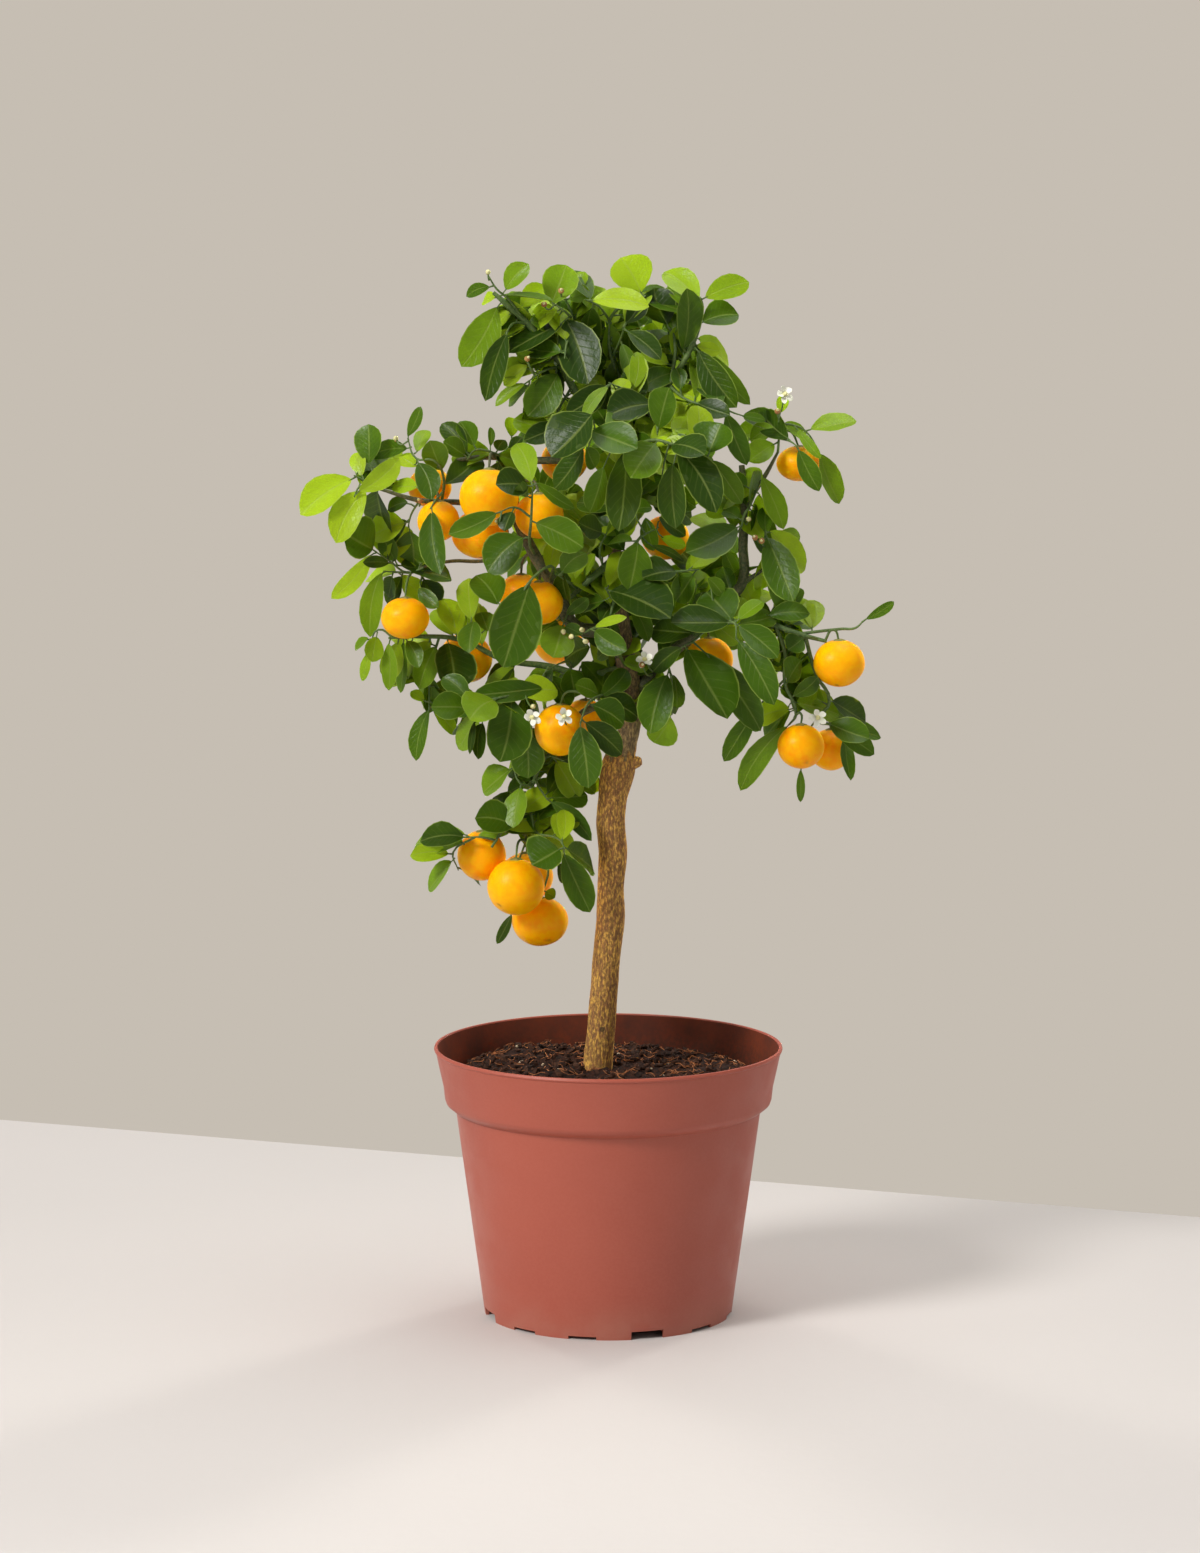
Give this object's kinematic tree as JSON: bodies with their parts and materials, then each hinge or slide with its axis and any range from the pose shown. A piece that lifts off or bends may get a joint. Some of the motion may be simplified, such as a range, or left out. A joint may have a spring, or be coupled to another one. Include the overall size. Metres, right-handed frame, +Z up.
{
  "type": "potted calamondin",
  "caption": "Small grafted citrus tree with glossy leaves and round orange fruit, rooted in potting mix in a tapered plastic nursery pot.",
  "frame": {"origin": "middle of the pot's foot, on the ground", "axes": "+Z up along the trunk, -Y towards the side the plant is shown from, +X to that viewer's right"},
  "size_m": [0.3503, 0.2235, 0.6352],
  "materials": {
    "pot_plastic": "satin moulded terracotta-coloured plastic",
    "potting_mix": "damp peat and bark potting mix",
    "bark": "rough fissured bark",
    "green_wood": "smooth green-brown young bark",
    "rind": "waxy pored citrus rind",
    "leaf": "glossy waxy leaf"
  },
  "bodies": {
    "root": {"branch_cross": "leaf", "branch_lower_left": "leaf", "branch_rear_high": "leaf", "branch_rear_left": "leaf", "branch_rear_low": "leaf", "branch_rear_right": "leaf", "branch_rear_top": "leaf", "branch_right_arm": "leaf", "branch_top_left": "leaf", "branch_top_right": "leaf", "fruit_by_trunk": "rind", "fruit_by_trunk_back": "rind", "fruit_centre_back": "rind", "fruit_left_back_a": "rind", "fruit_left_back_b": "rind", "fruit_left_end": "rind", "fruit_low_a": "rind", "fruit_low_b": "rind", "fruit_low_c": "rind", "fruit_low_d": "rind", "fruit_mid": "rind", "fruit_mid_back": "rind", "fruit_mid_left": "rind", "fruit_rear_high": "rind", "fruit_rear_low": "rind", "fruit_right_arm": "rind", "fruit_right_low_a": "rind", "fruit_right_low_b": "rind", "fruit_right_mid": "rind", "fruit_right_top": "rind", "fruit_upper_left": "rind", "fruit_upper_left_low": "rind", "fruit_upper_mid": "rind", "limb_hanging": "green_wood", "limb_left": "green_wood", "limb_right": "green_wood", "pot": "pot_plastic", "potting_soil": "potting_mix", "shoot_by_trunk": "leaf", "shoot_centre": "leaf", "shoot_hanging": "leaf", "shoot_leader_top": "leaf", "shoot_left_arm": "leaf", "shoot_left_arm_low": "leaf", "shoot_left_end": "leaf", "shoot_left_fork": "leaf", "shoot_left_front": "leaf", "shoot_left_inner": "leaf", "shoot_left_low_arm": "leaf", "shoot_left_top": "leaf", "shoot_low_fruit": "leaf", "shoot_mid_front": "leaf", "shoot_mid_right": "leaf", "shoot_right_drop": "leaf", "shoot_right_inner": "leaf", "shoot_right_low": "leaf", "shoot_right_outer": "leaf", "shoot_right_top": "leaf", "trunk": "bark"}
  },
  "joints": []
}
